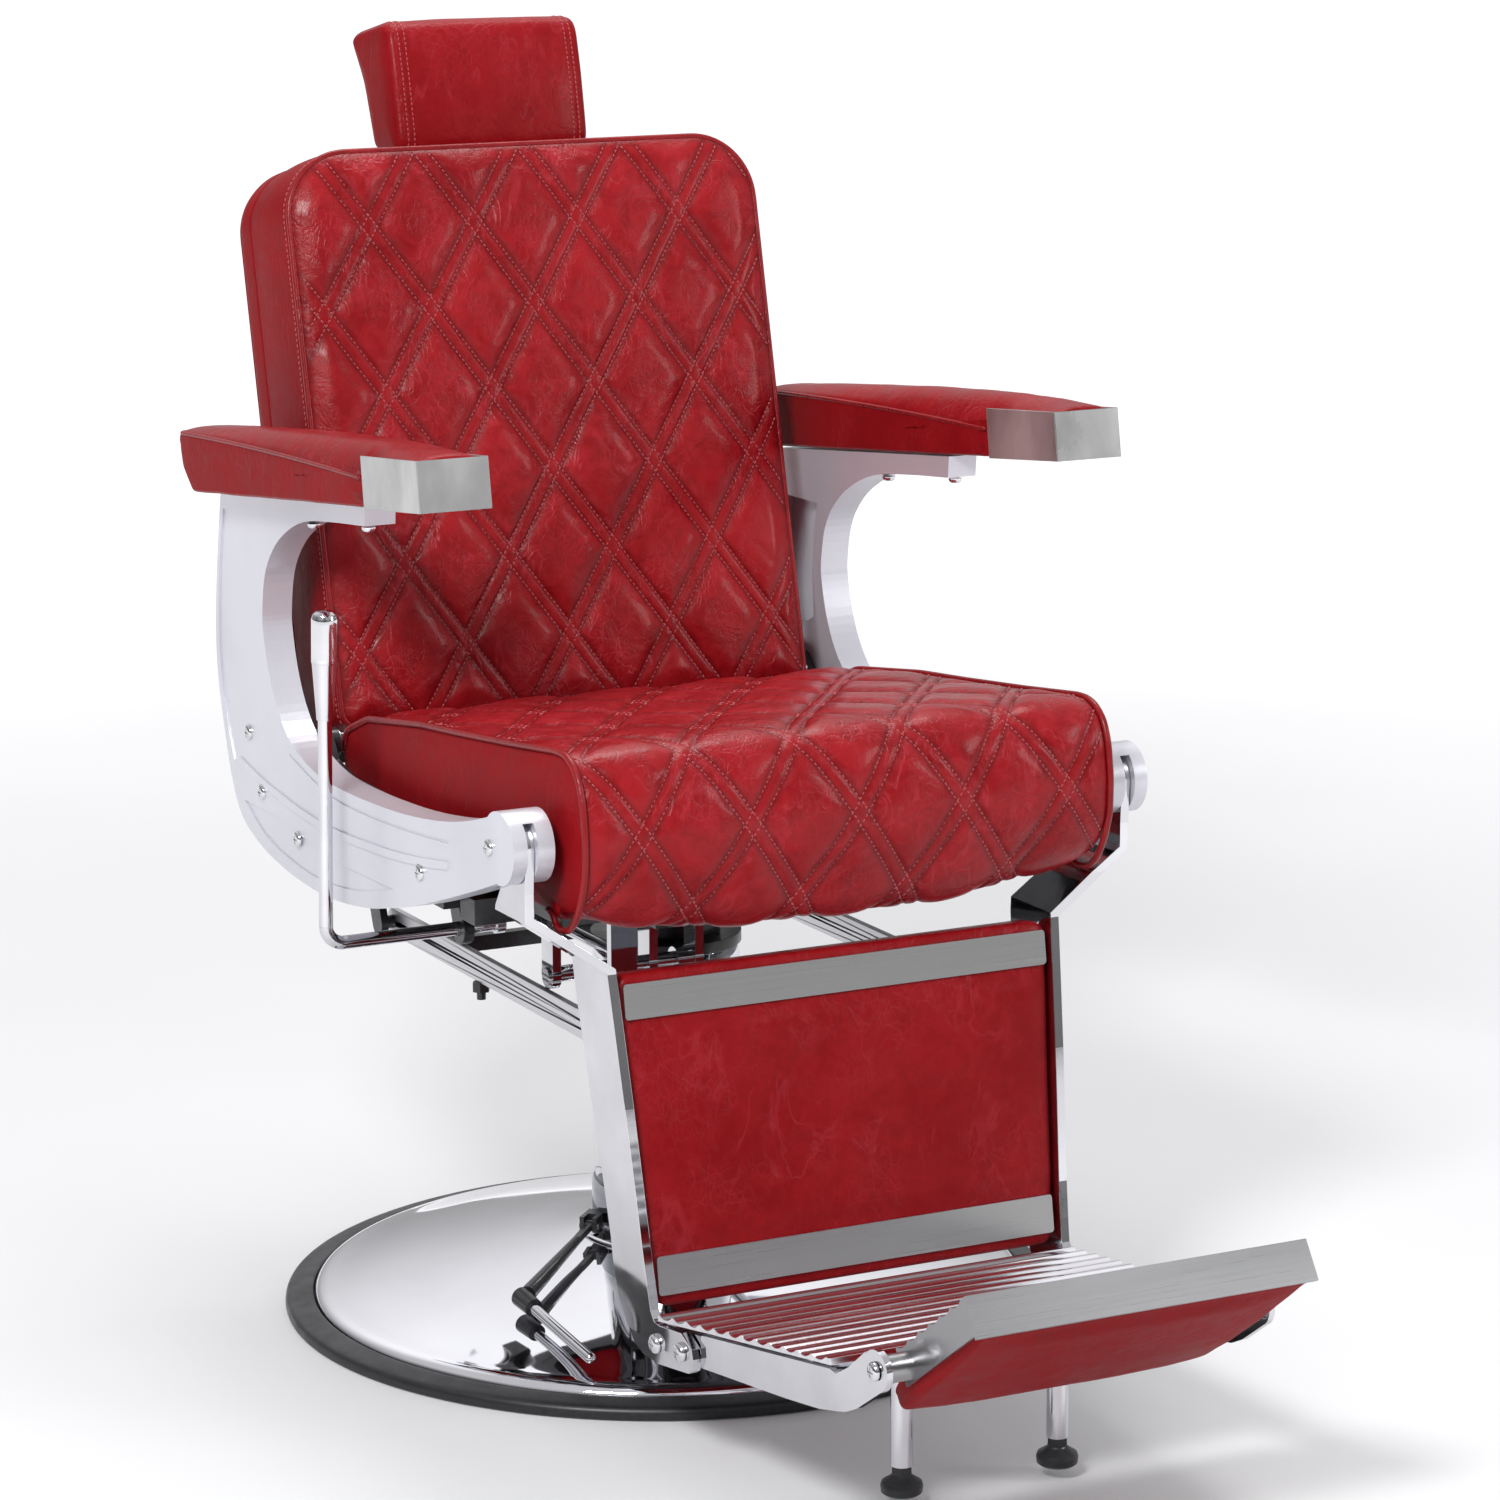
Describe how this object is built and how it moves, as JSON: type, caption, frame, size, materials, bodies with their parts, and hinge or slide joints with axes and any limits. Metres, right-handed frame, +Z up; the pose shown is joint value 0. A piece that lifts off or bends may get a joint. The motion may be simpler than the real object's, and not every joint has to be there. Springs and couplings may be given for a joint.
{
  "type": "barber chair",
  "caption": "Hydraulic barber chair with quilted seat and back, sliding headrest, cast arms, linked recline and leg rest, ribbed footplate and round base.",
  "frame": {"origin": "centre of the round base, on the floor", "axes": "+Z up, the chair faces -Y, the sitter's right hand is on -X"},
  "size_m": [0.6839, 1.2915, 1.118],
  "materials": {
    "rubber_black": "matt black moulded rubber",
    "dome_chrome": "mirror chrome plate on spun steel",
    "chrome": "mirror chrome plate",
    "satin_chrome": "brushed satin chrome",
    "steel_bare": "turned steel",
    "steel_black": "black semi-gloss paint on steel",
    "plate_paint": "black paint on rolled plate",
    "bronze": "plain turned bronze",
    "plastic_black": "moulded black plastic",
    "silver_paint": "silver-white baked paint on an alloy casting",
    "red_leather": "deep red smooth upholstery leather",
    "plywood": "birch plywood",
    "tread_alloy": "polished cast alloy",
    "screw_chrome": "plated steel screws"
  },
  "bodies": {
    "base": {"base_plate": "plate_paint", "base_ring": "rubber_black", "base_dome": "dome_chrome", "dome_collar": "chrome", "pump_housing": "chrome", "pump_cylinder": "steel_bare", "gland_bush": "bronze", "column_sleeve": "chrome", "column_cap": "plastic_black", "base_bolts": "screw_chrome", "pedal_fulcrum": "steel_black"},
    "pump_pedal": {"pump_arm": "rubber_black", "pedal_rod": "chrome"},
    "ram": {"lift_ram": "chrome", "ram_piston": "steel_bare"},
    "seat": {"swivel_hub": "steel_black", "seat_frame": "steel_black", "seat_board": "plywood", "seat_cushion": "red_leather", "side_frame_left": "silver_paint", "side_frame_right": "silver_paint", "frame_screws": "screw_chrome", "arm_pad_left": "red_leather", "arm_pad_right": "red_leather", "arm_cap_left": "satin_chrome", "arm_cap_right": "satin_chrome", "arm_screws": "screw_chrome", "leg_hinge_pins": "steel_bare", "back_pivot_bolts": "screw_chrome", "lever_bracket": "steel_black", "cross_rod": "satin_chrome", "strut_rod": "steel_bare"},
    "release_lever": {"recline_lever": "chrome", "lever_grip": "chrome"},
    "strut_body": {"strut_tube": "steel_black"},
    "backrest": {"back_frame": "steel_black", "back_board": "plywood", "back_cushion": "red_leather", "back_panel": "red_leather", "headrest_guides": "satin_chrome"},
    "headrest": {"headrest_posts": "chrome", "headrest_pad": "red_leather", "headrest_plate": "satin_chrome"},
    "leg_links": {"link_bar_left": "satin_chrome", "link_bar_right": "satin_chrome", "link_stop": "steel_black"},
    "legrest": {"leg_bar_left": "chrome", "leg_bar_right": "chrome", "leg_crossbars": "steel_black", "leg_panel": "red_leather", "leg_strips": "satin_chrome", "foot_bolts": "screw_chrome", "foot_tread": "tread_alloy", "foot_bracket_left": "silver_paint", "foot_bracket_right": "silver_paint", "foot_posts": "chrome"},
    "flip_panel": {"flip_frame": "tread_alloy", "flip_pad": "red_leather"},
    "level_foot_left": {"foot_pad_left": "rubber_black"},
    "level_foot_right": {"foot_pad_right": "rubber_black"}
  },
  "joints": [
    {"name": "lift", "type": "slide", "parent": "base", "child": "ram", "axis": [0, 0, 1], "range_m": [0, 0.15]},
    {"name": "swivel", "type": "hinge", "parent": "ram", "child": "seat", "pos_m": [0, 0, 0.36], "axis": [0, 0, 1], "continuous": true},
    {"name": "back_recline", "type": "hinge", "parent": "seat", "child": "backrest", "pos_m": [0, 0.15, 0.5], "axis": [-1, 0, 0], "range_deg": [0, 45]},
    {"name": "legrest_swing", "type": "hinge", "parent": "seat", "child": "legrest", "pos_m": [0, -0.3, 0.5], "axis": [-1, 0, 0], "range_deg": [0, 45]},
    {"name": "leg_link", "type": "hinge", "parent": "backrest", "child": "leg_links", "pos_m": [0, 0.203, 0.317], "axis": [-1, 0, 0], "range_deg": [-45, 0]},
    {"name": "strut_slide", "type": "slide", "parent": "seat", "child": "strut_body", "axis": [0, -1, 0], "range_m": [0, 0.1091]},
    {"name": "flip_panel_turn", "type": "hinge", "parent": "legrest", "child": "flip_panel", "pos_m": [0, -0.7072, 0.1707], "axis": [-1, 0, 0], "range_deg": [0, 120]},
    {"name": "headrest_slide", "type": "slide", "parent": "backrest", "child": "headrest", "axis": [0, 0.225, 0.9744], "range_m": [0, 0.1]},
    {"name": "release", "type": "hinge", "parent": "seat", "child": "release_lever", "pos_m": [0, 0, 0.358], "axis": [-1, 0, 0], "range_deg": [0, 18], "stiffness_Nm_per_rad": 2, "springref_deg": -8.59},
    {"name": "pump", "type": "hinge", "parent": "base", "child": "pump_pedal", "pos_m": [-0.082, -0.01, 0.076], "axis": [-0.7071, 0.7071, 0], "range_deg": [0, 20]},
    {"name": "level_left", "type": "slide", "parent": "legrest", "child": "level_foot_left", "axis": [0, 0, 1], "range_m": [-0.009, 0]},
    {"name": "level_right", "type": "slide", "parent": "legrest", "child": "level_foot_right", "axis": [0, 0, 1], "range_m": [-0.009, 0]}
  ],
  "couplings": [
    {"joint": "legrest_swing", "follows": "back_recline", "ratio": 1},
    {"joint": "leg_link", "follows": "back_recline", "ratio": -1},
    {"joint": "strut_slide", "follows": "back_recline", "m_per_rad": 0.1388}
  ]
}
